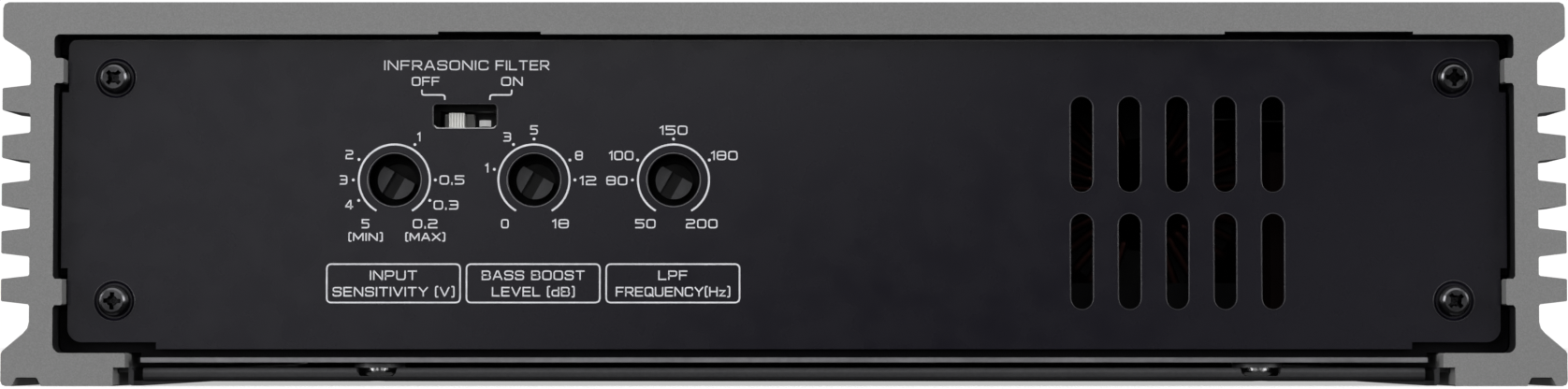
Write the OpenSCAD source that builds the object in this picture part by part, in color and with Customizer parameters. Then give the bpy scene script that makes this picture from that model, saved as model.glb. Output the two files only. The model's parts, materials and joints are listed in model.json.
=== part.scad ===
// Car amplifier, one channel.
// Extruded heatsink housing along Y, feet on Z = 0, control end facing -Y, terminals at +Y.
// The origin is at the middle of the base of the whole object.

/* [Housing] */
// Width over the fins
body_w = 251; // [245:0.5:260]
// Height from the feet to the top face
body_h = 61.7; // [61.7:0.1:64]
// Length of the extrusion
body_l = 200; // [190:1:240]
// How far the terminal blocks stand out past the extrusion
term_out = 11; // [11:0.5:14]
// Thickness of the top plate
top_t = 5.15; // [4:0.05:6]
// Thickness of the side walls behind the fins
wall_t = 3.75; // [3.5:0.05:4]
// Thickness of the feet
foot_t = 5.3; // [5.3:0.1:5.6]
// How far a foot reaches in from the outer side
foot_in = 19.9; // [19.5:0.1:20.5]

/* [Fins] */
// Depth of a fin from tip to root
fin_d = 4.5; // [4:0.1:4.8]
// Pitch of the fins
fin_pitch = 7.67; // [7.4:0.01:7.8]
// Thickness of a fin at its tip
fin_tip = 3.55; // [3:0.05:3.8]
// Thickness of a fin at its root
fin_root = 4.55; // [4:0.05:4.8]
// Height of the lowest fin's middle
fin_z = 15.4; // [15.2:0.1:15.8]
// Number of fins on each side
fin_n = 5; // [3:1:5]

/* [End panels] */
// Set-back of a panel from the end of the extrusion
recess = 3; // [2:0.1:4]
// Thickness of a panel sheet
panel_t = 1.2; // [1:0.1:1.5]
// Thickness of the folded bracket sheet
brk_t = 0.9; // [0.8:0.1:1]
// Height of the upper panel screws
scr_hi = 49.7; // [49:0.1:50]
// Height of the lower panel screws
scr_lo = 13.7; // [13.5:0.1:14]
// Distance of the panel screws from the middle
scr_x = 108; // [107:0.1:108.5]

/* [Controls] */
// Height of the dials
dial_z = 33.24; // [32:0.1:34]
// First dial's place across the panel
dial_x = -62.9; // [-64:0.1:-62]
// Pitch of the dials
dial_pitch = 22.53; // [22:0.01:23]
// Radius of a dial hole
dial_hole_r = 4.15; // [4:0.05:4.3]
// Radius of a dial shaft
shaft_r = 3; // [3:0.1:3.1]
// Turn of a dial from end to end
dial_turn = 300; // [270:5:300]
// Middle of the switch window, across
sw_x = -51.5; // [-52:0.1:-51]
// Middle of the switch window, height
sw_z = 43.5; // [43:0.1:44]

/* [Vents] */
// Width of a vent slot
vent_w = 3.62; // [3:0.02:3.8]
// Length of a vent slot
vent_h = 15.5; // [14:0.1:16]
// Pitch of the vent slots
vent_pitch = 7.71; // [7.6:0.01:7.8]
// First vent column's place
vent_x = 48.06; // [47:0.1:49]

/* [Hidden] */

$fn = 48;
e = 0.01;
hw = body_w / 2;                  // half width
fy = -(body_l + term_out) / 2;    // control end of the extrusion
ry = fy + body_l;                 // terminal end of the extrusion
my = (fy + ry) / 2;               // middle of the extrusion
ty = ry + term_out;               // outer face of the terminal blocks
iw = hw - fin_d - wall_t;         // inner wall face
top_z = body_h - top_t;           // underside of the top plate
lip_z = 3;                        // underside of a foot's upper lip
foot_lo = 18;                     // inner end of a foot's lower part, from the outer side
rib_d = 1.5;                      // depth of the inner ribs
rib_lo = [13.0, 17.2];
rib_hi = [48.7, 52.7];
groove_u = 4.15;                  // middle of the groove under a foot, from the outer side
board_z = 9.3;                    // underside of the main board
board_t = 1.6;
bz = board_z + board_t;           // top of the main board
cov_t = 0.8;                      // bottom cover sheet
cov_lo = 0.75;                    // underside of the cover's floor
rail_z = 3.75;                    // underside of the bracket's bottom rail
m3 = 1.5;                         // radius of an M3 hole, and of its shank with clearance
m3s = 1.45;
scr_sink = 0.3;                   // depth of a panel screw's dimple
dev_y = [for (i = [0:5]) my - 70 + i * 26];   // transistors along each wall
clamp_y = [for (i = [0, 2, 4]) my - 57 + i * 26];
board_y = [my - 79, my - 5, my + 74];
mount_x = hw - groove_u + 0.2;
mount_y = 84;                     // mounting holes, from the middle of the extrusion
mount_r = 2.1;
lamp_x = -75;                     // status lamp, across the rear panel

function arc(cx, cy, r, a0, a1, n = 5) =
  [for (i = [0:n]) let (a = a0 + (a1 - a0) * i / n) [cx + r * cos(a), cy + r * sin(a)]];

// ---- shared shapes -------------------------------------------------------------------
module along_y(len) { rotate([90, 0, 0]) linear_extrude(height = len, center = true) children(); }
module plate_y(y0, y1) { translate([0, (y0 + y1) / 2, 0]) along_y(y1 - y0) children(); }
module cyl_y(x, z, r, y0, y1) { translate([x, y0, z]) rotate([-90, 0, 0]) cylinder(r = r, h = y1 - y0); }
module cyl_x(y, z, r, x0, x1) { translate([x0, y, z]) rotate([0, 90, 0]) cylinder(r = r, h = x1 - x0); }
module cyl_z(x, y, r, z0, z1) { translate([x, y, z0]) cylinder(r = r, h = z1 - z0); }
module block(x0, x1, y0, y1, z0, z1) { translate([x0, y0, z0]) cube([x1 - x0, y1 - y0, z1 - z0]); }
module both() { children(); mirror([1, 0, 0]) children(); }
module rear() { translate([0, 2 * my, 0]) mirror([0, 1, 0]) children(); }

// Rounded rectangle with true arcs
module rrect(x0, x1, y0, y1, r) {
  translate([x0 + r, y0]) square([x1 - x0 - 2 * r, y1 - y0]);
  translate([x0, y0 + r]) square([x1 - x0, y1 - y0 - 2 * r]);
  for (x = [x0 + r, x1 - r], y = [y0 + r, y1 - r]) translate([x, y]) circle(r = r);
}

// Cross-recess pan-head screw, head up, shank down from z = 0
module pan_screw(r, len, head_r, head_h) {
  difference() {
    union() {
      rotate_extrude() polygon(concat([[0, 0], [head_r, 0], [head_r, head_h * 0.35]],
        [for (a = [18:18:72]) [head_r * (0.55 + 0.45 * cos(a)), head_h * (0.35 + 0.65 * sin(a))]],
        [[0, head_h]]));
      translate([0, 0, -len]) cylinder(r = r, h = len + e);
      translate([0, 0, -len - r * 0.4]) cylinder(r1 = r * 0.6, r2 = r, h = r * 0.4);
    }
    for (a = [0, 90]) rotate([0, 0, a])
      translate([-head_r * 0.55, -head_r * 0.14, head_h * 0.3]) cube([head_r * 1.1, head_r * 0.28, head_h]);
    translate([0, 0, head_h * 0.2]) cylinder(r1 = head_r * 0.1, r2 = head_r * 0.36, h = head_h * 0.81);
  }
}

// Hex-socket set screw, top at z = 0, pointing down
module set_screw(r, len, key) {
  difference() {
    union() {
      translate([0, 0, -len + r * 0.3]) cylinder(r = r, h = len - r * 0.3);
      translate([0, 0, -len]) cylinder(r1 = r * 0.7, r2 = r, h = r * 0.3);
    }
    translate([0, 0, -len * 0.45]) cylinder(r = key, h = len, $fn = 6);
  }
}

// ---- heatsink housing ----------------------------------------------------------------
// Right half of the section, from the top down the outer side and back up inside
function fin_pts(zc) = [
  [hw - fin_d, zc + fin_root / 2 + 0.25], [hw - fin_d + 0.2, zc + fin_root / 2],
  [hw - 0.15, zc + fin_tip / 2 + 0.02], [hw, zc + fin_tip / 2 - 0.14],
  [hw, zc - fin_tip / 2 + 0.14], [hw - 0.15, zc - fin_tip / 2 - 0.02],
  [hw - fin_d + 0.2, zc - fin_root / 2], [hw - fin_d, zc - fin_root / 2 - 0.25]];
half_pts = concat(
  [[hw - 0.9, body_h], [hw - 0.25, body_h - 0.3], [hw, body_h - 0.95]],
  [[hw, 56.2], [hw - 0.3, 55.7], [hw - 3.6, 53.6], [hw - 4.25, 53.0], [hw - fin_d, 52.2]],
  [for (i = [fin_n - 1:-1:0]) each fin_pts(fin_z + i * fin_pitch)],
  [[hw - fin_d, 10.3], [hw - fin_d + 0.25, 9.3], [hw - fin_d + 0.9, 8.5], [hw - 0.3, 5.7],
   [hw, 5.2], [hw, 0.8], [hw - 0.25, 0.22], [hw - 0.85, 0]],
  [[hw - groove_u + 2.35, 0], [hw - groove_u + 1.75, 1.2], [hw - groove_u + 1.55, 1.4],
   [hw - groove_u - 1.55, 1.4], [hw - groove_u - 1.75, 1.2], [hw - groove_u - 2.35, 0]],
  [[hw - foot_lo + 0.2, 0], [hw - foot_lo, 0.2], [hw - foot_lo, lip_z], [hw - foot_in, lip_z],
   [hw - foot_in, foot_t - 0.25], [hw - foot_in + 0.25, foot_t]],
  arc(iw - 1.35, foot_t + 1.35, 1.35, -90, 0),
  [[iw, rib_lo[0] - 0.5], [iw - 0.3, rib_lo[0]], [iw - rib_d + 0.2, rib_lo[0]],
   [iw - rib_d, rib_lo[0] + 0.2], [iw - rib_d, rib_lo[1] - 0.2], [iw - rib_d + 0.2, rib_lo[1]],
   [iw - 0.3, rib_lo[1]], [iw, rib_lo[1] + 0.5]],
  [[iw, rib_hi[0] - 0.5], [iw - 0.3, rib_hi[0]], [iw - rib_d + 0.2, rib_hi[0]],
   [iw - rib_d, rib_hi[0] + 0.2], [iw - rib_d, rib_hi[1] - 0.2], [iw - rib_d + 0.2, rib_hi[1]],
   [iw - 0.3, rib_hi[1]], [iw, rib_hi[1] + 0.5]],
  arc(iw - 0.9, top_z - 0.9, 0.9, 0, 90));

module heatsink_section() {
  polygon(concat(half_pts, [for (i = [len(half_pts) - 1:-1:0]) [-half_pts[i][0], half_pts[i][1]]]));
}

module heatsink() {
  color([0.50, 0.50, 0.50]) difference() {
    plate_y(fy, ry) heatsink_section();
    // shallow channels in the underside of the top plate
    block(-55.6, -39.1, fy - 1, ry + 1, top_z - 1, top_z + 0.42);
    block(70.8, 101.1, fy - 1, ry + 1, top_z - 1, top_z + 0.42);
    both() {
      // mounting holes in the feet, and the pockets that let their screws down past the fins
      for (s = [-1, 1]) {
        cyl_z(mount_x, my + s * mount_y, mount_r, -1, 8);
        cyl_z(mount_x, my + s * mount_y, 3.6, 5, body_h + 1);
        block(mount_x, hw + 1, my + s * mount_y - 3.6, my + s * mount_y + 3.6, 5, body_h + 1);
      }
      for (y = [fy + 12.5, ry - 12.5]) cyl_z(iw - 6.25, y, m3, 1.8, foot_t + 1);
      for (y = board_y) cyl_z(iw - 6.25, y, m3, 1.8, foot_t + 1);
      for (y = clamp_y) cyl_x(y, fin_z + 2 * fin_pitch, m3, iw - 1, hw - 1.5);
    }
  }
}

// ---- end panels and their brackets ---------------------------------------------------
module panel_outline() {
  pw = iw - rib_d - 0.25;
  translate([-(iw - 0.65), 19.0]) square([2 * (iw - 0.65), 28.4]);
  translate([-pw, 9.4]) square([2 * pw, 45]);
  translate([-pw + 2.3, 7.05]) square([2 * pw - 4.6, 40]);
  translate([-pw + 1, 40]) square([2 * pw - 2, 15.7]);
  for (s = [-1, 1]) {
    translate([s * (pw - 2.3), 9.35]) circle(r = 2.3);
    translate([s * (pw - 1), 54.7]) circle(r = 1);
    translate([s * (pw - 0.75) - 0.75, 54]) square([1.5, 0.7]);
  }
  translate([-101.2, 5.93]) square([202.4, 3]);
}

// A panel's screw dimples: y0 is its outer face, s the outward side
module dimple_cut(y0, s) {
  for (x = [-scr_x, scr_x], z = [scr_lo, scr_hi]) {
    translate([x, y0, z]) rotate([s > 0 ? 90 : -90, 0, 0]) {
      translate([0, 0, -e]) cylinder(r1 = 3.31, r2 = 2.85, h = scr_sink + e);
      translate([0, 0, -0.5]) cylinder(r = 3.31, h = 0.5);
      cylinder(r = m3 + 0.1, h = 4);
    }
  }
}

pf = fy + recess;                 // outer face of the front panel
pr = ry - recess;                 // outer face of the rear panel

module front_panel() {
  color([0.10, 0.10, 0.11]) difference() {
    plate_y(pf, pf + panel_t) difference() {
      panel_outline();
      for (i = [0:2]) translate([dial_x + i * dial_pitch, dial_z]) circle(r = dial_hole_r);
      rrect(sw_x - 5.15, sw_x + 5.15, sw_z - 2, sw_z + 2, 0.7);
      for (i = [0:4], z = [20.04, 38.98]) {
        translate([vent_x + i * vent_pitch, z]) {
          square([vent_w, vent_h - vent_w], center = true);
          for (s = [-1, 1]) translate([0, s * (vent_h - vent_w) / 2]) circle(r = vent_w / 2);
        }
      }
    }
    dimple_cut(pf, -1);
    // shallow dish round each dial hole
    for (i = [0:2]) translate([dial_x + i * dial_pitch, pf - e, dial_z]) rotate([-90, 0, 0])
      cylinder(r1 = 4.55, r2 = dial_hole_r - 0.02, h = 0.4);
  }
}

module rear_panel() {
  color([0.10, 0.10, 0.11]) difference() {
    plate_y(pr - panel_t, pr) difference() {
      panel_outline();
      translate([57.7, 10.6]) square([46.6, 22.7]);          // power terminals
      translate([19.7, 10.6]) square([32.6, 26.7]);          // fuses
      translate([-24.3, 10.6]) square([36.6, 20.7]);         // speaker terminals
      for (x = [-60, -46], z = [20, 34]) translate([x, z]) circle(r = 4.6);
      translate([-94.3, 10.6]) square([14.6, 12.7]);         // remote level socket
      translate([lamp_x, 34]) circle(r = 2.6);               // status lamp
    }
    dimple_cut(pr, 1);
  }
}

// Folded frame behind a panel, drawn for the front: a plate with windows, the bottom rail whose
// edge shows under the panel, and a tab down on each foot
module bracket_plate(windows) {
  y0 = pf + panel_t;
  difference() {
    plate_y(y0, y0 + brk_t) difference() {
      union() {
        rrect(-(iw - 0.3), iw - 0.3, foot_t + 0.05, top_z - 0.1, 1.4);
        translate([-103.8, rail_z + brk_t]) square([207.6, 5]);
        // tongues in the channels of the top plate
        translate([-55.3, 50]) square([15.9, top_z + 0.32 - 50]);
        translate([71.1, 50]) square([29.7, top_z + 0.32 - 50]);
      }
      // clear of the ribs
      for (z = [rib_lo[0] - 0.8, rib_hi[0] - 0.8], s = [-1, 1])
        translate([s > 0 ? iw - rib_d - 0.3 : -iw - 1, z]) square([rib_d + 1.3, 5.7]);
      for (w = windows) translate([w[0], w[2]]) square([w[1] - w[0], w[3] - w[2]]);
    }
    for (x = [-scr_x, scr_x], z = [scr_lo, scr_hi]) cyl_y(x, z, m3, y0 - 1, y0 + 2);
  }
  // rail under the panel, with the threaded holes of the cover screws
  difference() {
    block(-103.8, 103.8, fy + 1.8, fy + 13, rail_z, rail_z + brk_t);
    for (x = [-65.6, 76.8]) cyl_z(x, fy + 6.8, m3, 0, 8);
  }
  // tabs on the feet
  both() difference() {
    block(iw - 10, iw - 1.9, y0 + brk_t - e, fy + 17, foot_t + 0.05, foot_t + 0.05 + brk_t);
    cyl_z(iw - 6.25, fy + 12.5, m3 + 0.1, 0, 9);
  }
  // threaded bosses for the panel screws
  for (x = [-scr_x, scr_x], z = [scr_lo, scr_hi]) difference() {
    cyl_y(x, z, 2.6, y0 + brk_t - e, y0 + 3);
    cyl_y(x, z, m3, y0, y0 + 4);
  }
}
module front_bracket() {
  color([0.12, 0.12, 0.13])
    bracket_plate([[-88, -4, 12, 51], [42, 86, 10, 49.5], [4, 34, 12, 51]]);
}
module rear_bracket() {
  color([0.12, 0.12, 0.13]) rear()
    bracket_plate([[56.5, 104.6, 9.6, 38], [17, 54, 9.6, 40], [-26, 14, 9.6, 40],
      [-96, -36, 9.6, 45]]);
}

module panel_screw_set() {
  for (x = [-scr_x, scr_x], z = [scr_lo, scr_hi])
    translate([x, pf + scr_sink, z]) rotate([90, 0, 0]) rotate([0, 0, 45 + (x + scr_x) * 0.2 + (scr_hi - z) * 1.2])
      pan_screw(m3s, 4.4, 2.55, 2.1);
}
module front_panel_screws() { color([0.06, 0.06, 0.06]) panel_screw_set(); }
module rear_panel_screws() { color([0.06, 0.06, 0.06]) rear() panel_screw_set(); }

// ---- bottom cover --------------------------------------------------------------------
cov_f = fy + 2.6;                 // outer face of the cover's front wall
cov_x = 103.2;                    // half width of the front wall
module cover_side() {
  xo = hw - foot_lo - 0.2;        // flange tip under the foot's lip
  polygon(concat([[0, cov_lo], [92, cov_lo], [103.6, 0.05], [105.2, 0.05], [105.7, 0.5],
    [105.7, lip_z - cov_t], [xo, lip_z - cov_t], [xo, lip_z - e], [105.4, lip_z - e],
    [104.9, lip_z - 0.5], [104.9, 0.85], [103.7, 0.85], [92.1, cov_lo + cov_t], [0, cov_lo + cov_t]]));
}
// Front wall, folded up from the floor and back into a return flange
module cover_end(half) {
  rotate([90, 0, 90]) linear_extrude(height = 2 * half, center = true) polygon(concat(
    [[cov_f + 3, cov_lo]], [[cov_f + 1.0, cov_lo]],
    [for (a = [250:-20:190]) [cov_f + 0.9 + 0.9 * cos(a), cov_lo + 0.9 + 0.9 * sin(a)]],
    [for (a = [180:-22.5:90]) [cov_f + 0.75 + 0.75 * cos(a), 2.2 + 0.75 * sin(a)]],
    [[cov_f + 9, 2.95], [cov_f + 9, 2.95 - cov_t], [cov_f + cov_t, 2.95 - cov_t],
     [cov_f + cov_t, cov_lo + cov_t], [cov_f + 3, cov_lo + cov_t]]));
}
module cover_dimple(x) {
  difference() {
    cyl_z(x, fy + 6.8, 4.1, 2.2, rail_z - e);
    cyl_z(x, fy + 6.8, 3.5, 0, rail_z - cov_t);
  }
}
// Room for a screw's head, open through the front wall
module screw_notch(x) {
  cyl_z(x, fy + 6.8, 3.5, -1, rail_z - cov_t);
  translate([x, fy + 6.8, 0]) rotate([90, 0, 0]) linear_extrude(height = 6)
    polygon([[-3.3, rail_z - cov_t], [3.3, rail_z - cov_t], [3.1, 2.1], [2.6, 1.6], [-2.6, 1.6],
      [-3.1, 2.1]]);
}
module bottom_cover() {
  color([0.13, 0.13, 0.14]) difference() {
    union() {
      plate_y(cov_f + 0.9, ry - 3.5) both() cover_side();
      cover_end(cov_x);
      rear() cover_end(105.5);
      for (x = [-65.6, 76.8]) { cover_dimple(x); rear() cover_dimple(x); }
    }
    for (x = [-65.6, 76.8], m = [0, 1]) {
      y = m == 0 ? fy + 6.8 : ry - 6.8;
      cyl_z(x, y, m3 + 0.15, 0, 5);
    }
    for (x = [-65.6, 76.8]) { screw_notch(x); rear() screw_notch(x); }
  }
}
module cover_screws() {
  color([0.62, 0.62, 0.64]) for (x = [-65.6, 76.8], y = [fy + 6.8, ry - 6.8])
    translate([x, y, rail_z - cov_t - e]) rotate([180, 0, x]) pan_screw(m3s, 3.0, 2.6, 1.35);
}
module bracket_screws() {
  color([0.62, 0.62, 0.64]) both() for (y = [fy + 12.5, ry - 12.5])
    translate([iw - 6.25, y, foot_t + 0.06 + brk_t]) pan_screw(m3s, 3.4, 2.7, 1.8);
}

// ---- boards --------------------------------------------------------------------------
module main_board() {
  color([0.05, 0.22, 0.10]) difference() {
    block(-(iw - 0.8), iw - 0.8, fy + 8, ry - 8, board_z, bz);
    both() {
      for (y = board_y) cyl_z(iw - 6.25, y, m3 + 0.15, 8, 12);
      for (y = [fy + 12.5, ry - 12.5]) cyl_z(iw - 6.25, y, 3.4, 8, 12);
      for (y = dev_y, k = [-1, 0, 1]) cyl_z(iw - 2.7, y + k * 5.45, 0.8, 8, 12);
    }
  }
}
module board_spacers() {
  color([0.75, 0.75, 0.72]) both() for (y = board_y) difference() {
    cyl_z(iw - 6.25, y, 3.4, foot_t, board_z);
    cyl_z(iw - 6.25, y, m3 + 0.15, 4, 12);
  }
}
module board_screws() {
  color([0.62, 0.62, 0.64]) both() for (y = board_y)
    translate([iw - 6.25, y, bz + e]) pan_screw(m3s, 8.2, 2.7, 1.8);
}

pot_y = fy + 11;                  // front of a dial's body
cb_y = pot_y + 6.6;               // front of the control board
module control_board() {
  color([0.05, 0.22, 0.10]) block(-76, -6, cb_y, cb_y + 1.6, bz, 49);
}
module control_header() {
  color([0.08, 0.08, 0.08]) {
    block(-60, -34, cb_y + 1.6 + e, cb_y + 4.1, bz + e, bz + 2.5);
    for (i = [0:9]) block(-58.5 + i * 2.5, -57.9 + i * 2.5, cb_y + 1.62, cb_y + 6.4, bz + 0.9, bz + 1.5);
  }
}

// ---- dials ---------------------------------------------------------------------------
module pot_body(i) {
  x = dial_x + i * dial_pitch;
  color([0.12, 0.12, 0.13]) difference() {
    union() {
      block(x - 5, x + 5, pot_y, cb_y - e, dial_z - 6.5, dial_z + 5.5);
      cyl_y(x, dial_z, 3.9, pot_y - 3, pot_y + e);
    }
    cyl_y(x, dial_z, shaft_r + 0.05, pot_y - 4, pot_y + 5.2);
  }
}
// D-shaft with a screwdriver slot, at its lowest setting
module shaft(i) {
  x = dial_x + i * dial_pitch;
  tip = fy + 5.6;
  color([0.07, 0.07, 0.07]) translate([x, 0, dial_z]) difference() {
    cyl_y(0, 0, shaft_r, tip, pot_y + 5);
    rotate([0, 30, 0]) {
      translate([-4, tip - 1, 1.1]) cube([8, 4.4, 3]);
      translate([-1, tip - 1, -4]) cube([2, 2.7, 8]);
    }
  }
}
module gain_pot() { pot_body(0); }
module gain_shaft() { shaft(0); }
module boost_pot() { pot_body(1); }
module boost_shaft() { shaft(1); }
module lowpass_pot() { pot_body(2); }
module lowpass_shaft() { shaft(2); }

// ---- slide switch --------------------------------------------------------------------
sw_travel = 2.8;
kn_z = sw_z - 0.5;                // the knob sits a little low in its window
kn_x = sw_x - 1.55;               // knob at OFF
module filter_switch_body() {
  color([0.05, 0.05, 0.05]) difference() {
    block(sw_x - 6, sw_x + 6, fy + 8, cb_y - e, kn_z - 2.9, kn_z + 2.9);
    block(sw_x - 4.6, sw_x + 4.6, fy + 7, fy + 13, kn_z - 1.7, kn_z + 1.7);
  }
}
module filter_switch_clip() {
  color([0.75, 0.75, 0.75]) translate([sw_x + 2.3, fy + 12.98, kn_z - 0.45]) difference() {
    cyl_z(0, 0, 0.95, 0, 1);
    cyl_z(0, 0, 0.65, -1, 2);
    block(-2, 2, 0, 3, -1, 3);
  }
}
module filter_switch_knob() {
  color([0.85, 0.85, 0.83]) difference() {
    union() {
      block(kn_x - 2.35, kn_x + 2.35, fy + 9.2, fy + 11.6, kn_z - 1.3, kn_z + 1.3);
      block(kn_x - 1.2, kn_x + 1.2, fy + 4.6, fy + 9.3, kn_z - 1.2, kn_z + 1.2);
    }
    for (i = [-2:2]) block(kn_x + i * 0.46 - 0.1, kn_x + i * 0.46 + 0.1, fy + 4, fy + 4.9, kn_z - 2, kn_z + 2);
  }
}

// ---- transistors, pads and clamps ----------------------------------------------------
pad_t = 0.3;
module transistor(y) {
  x1 = iw - pad_t - e;
  block(x1 - 5, x1, y - 7.9, y + 7.9, 20, 40.5);
  for (k = [-1, 0, 1])
    block(iw - 3.0, iw - 2.4, y + k * 5.45 - 0.5, y + k * 5.45 + 0.5, board_z - 1.2, 20 + e);
}
module supply_transistors() {
  color([0.09, 0.09, 0.09]) mirror([1, 0, 0]) for (y = dev_y) transistor(y);
}
module output_transistors() { color([0.09, 0.09, 0.09]) for (y = dev_y) transistor(y); }
module thermal_pads() {
  color([0.6, 0.65, 0.7]) both() for (y = dev_y)
    block(iw - pad_t, iw - e, y - 9, y + 9, 19, 41.5);
}
bar_x = iw - pad_t - 5 - 2 * e;
module clamp_bars() {
  color([0.55, 0.55, 0.56]) both() difference() {
    block(bar_x - 3, bar_x, my - 82, my + 72, fin_z + 2 * fin_pitch - 4.5, fin_z + 2 * fin_pitch + 4.5);
    for (y = clamp_y) cyl_x(y, fin_z + 2 * fin_pitch, m3 + 0.15, bar_x - 4, bar_x + 1);
  }
}
module clamp_screws() {
  color([0.62, 0.62, 0.64]) both() for (y = clamp_y)
    translate([bar_x - 3 - e, y, fin_z + 2 * fin_pitch]) rotate([0, -90, 0]) pan_screw(m3s, 13.4, 2.7, 1.8);
}

// ---- magnetics -----------------------------------------------------------------------
// Ring of rectangular section, and the winding sleeve that fits over it
module ring(ri, ro, h) {
  rotate_extrude($fn = 64) translate([ri, -h / 2]) square([ro - ri, h]);
}
module winding(ri, ro, h, t, a0, a1) {
  rotate([0, 0, a0]) rotate_extrude(angle = a1 - a0, $fn = 64) difference() {
    translate([ri - t, -h / 2 - t]) rrect(0, ro - ri + 2 * t, 0, h + 2 * t, 1.2);
    translate([ri - e, -h / 2 - e]) square([ro - ri + 2 * e, h + 2 * e]);
  }
}
module transformer_at() { translate([16, my - 4, bz + 15.1]) children(); }
module transformer_core() { color([0.2, 0.2, 0.21]) transformer_at() ring(13, 25, 24); }
module transformer_winding() {
  color([0.55, 0.25, 0.10]) transformer_at() for (a = [0, 120, 240]) winding(13, 25, 24, 3, a + 6, a + 114);
}
module out_choke_at() { translate([60, fy + 30, bz + 2.1 + 18.9]) rotate([90, 0, 0]) children(); }
module output_choke_core() { color([0.15, 0.25, 0.15]) out_choke_at() ring(9.5, 16.5, 12); }
module output_choke_winding() {
  color([0.55, 0.25, 0.10]) out_choke_at() for (a = [0, 1]) winding(9.5, 16.5, 12, 2.4, a * 180 + 285, a * 180 + 435);
}
module choke_base() {
  color([0.08, 0.08, 0.08]) difference() {
    block(44, 76, fy + 20, fy + 40, bz, bz + 6);
    translate([60, fy + 30, bz + 2.1 + 18.9]) rotate([90, 0, 0]) cylinder(r = 18.95, h = 17, center = true);
  }
}
module in_choke_at() { translate([84, my + 42, bz + 9.6]) children(); }
module input_choke_core() { color([0.55, 0.5, 0.2]) in_choke_at() ring(8, 15, 14); }
module input_choke_winding() {
  color([0.55, 0.25, 0.10]) in_choke_at() for (a = [0, 1]) winding(8, 15, 14, 2.4, a * 180 + 20, a * 180 + 160);
}

// ---- capacitors ----------------------------------------------------------------------
module can(x, y, r, h) {
  translate([x, y, bz]) rotate_extrude() polygon([[0, 0], [r - 0.8, 0], [r, 0.8], [r, 2.2],
    [r - 0.5, 2.8], [r, 3.4], [r, h - 0.8], [r - 0.8, h], [r - 1.4, h - 0.3], [0, h - 0.3]]);
}
module input_capacitors() {
  color([0.08, 0.09, 0.16]) for (i = [0:2]) can(42 - i * 19, my + 52, 8, 30);
  color([0.08, 0.09, 0.16]) can(60, my + 30, 8, 30);
}
module rail_capacitors() {
  color([0.08, 0.09, 0.16]) for (x = [-46, -68], y = [my - 28, my - 6, my + 16]) can(x, y, 9, 36);
}
module film_capacitors() {
  color([0.55, 0.08, 0.06]) {
    block(80.5, 90.5, fy + 16, fy + 42, bz, bz + 27.6);
    block(-28, -18, my - 40, my - 14, bz, bz + 20);
  }
}

// ---- power terminals -----------------------------------------------------------------
pt_z = 22;
pt_x = [66.5, 95.5];
module power_terminal_housing() {
  color([0.06, 0.06, 0.06]) difference() {
    block(58, 104, ty - 32, ty, bz, 33);
    for (x = pt_x) {
      block(x - 6.6, x + 6.6, ty - 20.6, ty + 1, pt_z - 6.6, pt_z + 6.6);
      cyl_z(x, ty - 6, 3.3, pt_z, 40);
    }
    block(77.9, 84.1, ty - 20.6, ty + 1, pt_z - 4.1, pt_z + 4.1);
    cyl_z(81, ty - 6, 1.8, pt_z, 40);
    for (x = [74.5, 87.5]) block(x - 0.6, x + 0.6, ty - 9, ty + 1, 0, 40);
  }
}
module power_terminal_clamps() {
  color([0.78, 0.66, 0.38]) {
    for (x = pt_x) difference() {
      block(x - 6.5, x + 6.5, ty - 20.5, ty - 0.5, pt_z - 6.5, pt_z + 6.5);
      cyl_y(x, pt_z, 4.5, ty - 18.5, ty);
      cyl_z(x, ty - 6, 3, pt_z, 40);
    }
    difference() {
      block(78, 84, ty - 20.5, ty - 0.5, pt_z - 4, pt_z + 4);
      cyl_y(81, pt_z, 1.9, ty - 18.5, ty);
      cyl_z(81, ty - 6, 1.5, pt_z, 40);
    }
  }
}
module power_terminal_screws() {
  color([0.6, 0.6, 0.62]) {
    for (x = pt_x) translate([x, ty - 6, 32.4]) set_screw(2.95, 5.6, 1.5);
    translate([81, ty - 6, 31.5]) set_screw(1.45, 7.4, 0.75);
  }
}

// ---- speaker terminals ---------------------------------------------------------------
st_z = 20;
st_x = [-19.5, -10.5, -1.5, 7.5];
module speaker_terminal_housing() {
  color([0.06, 0.06, 0.06]) difference() {
    block(-24, 12, ty - 30, ty - 2, bz, 31);
    for (x = st_x) {
      block(x - 3.6, x + 3.6, ty - 18.6, ty, st_z - 4.6, st_z + 4.6);
      cyl_z(x, ty - 7, 2.2, st_z, 40);
    }
  }
}
module speaker_terminal_clamps() {
  color([0.78, 0.66, 0.38]) for (x = st_x) difference() {
    block(x - 3.5, x + 3.5, ty - 18.5, ty - 2.5, st_z - 4.5, st_z + 4.5);
    cyl_y(x, st_z, 2.4, ty - 16.5, ty);
    cyl_z(x, ty - 7, 2, st_z, 40);
  }
}
module speaker_terminal_screws() {
  color([0.6, 0.6, 0.62]) for (x = st_x) translate([x, ty - 7, 30.3]) set_screw(1.95, 7.5, 1.0);
}

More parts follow.
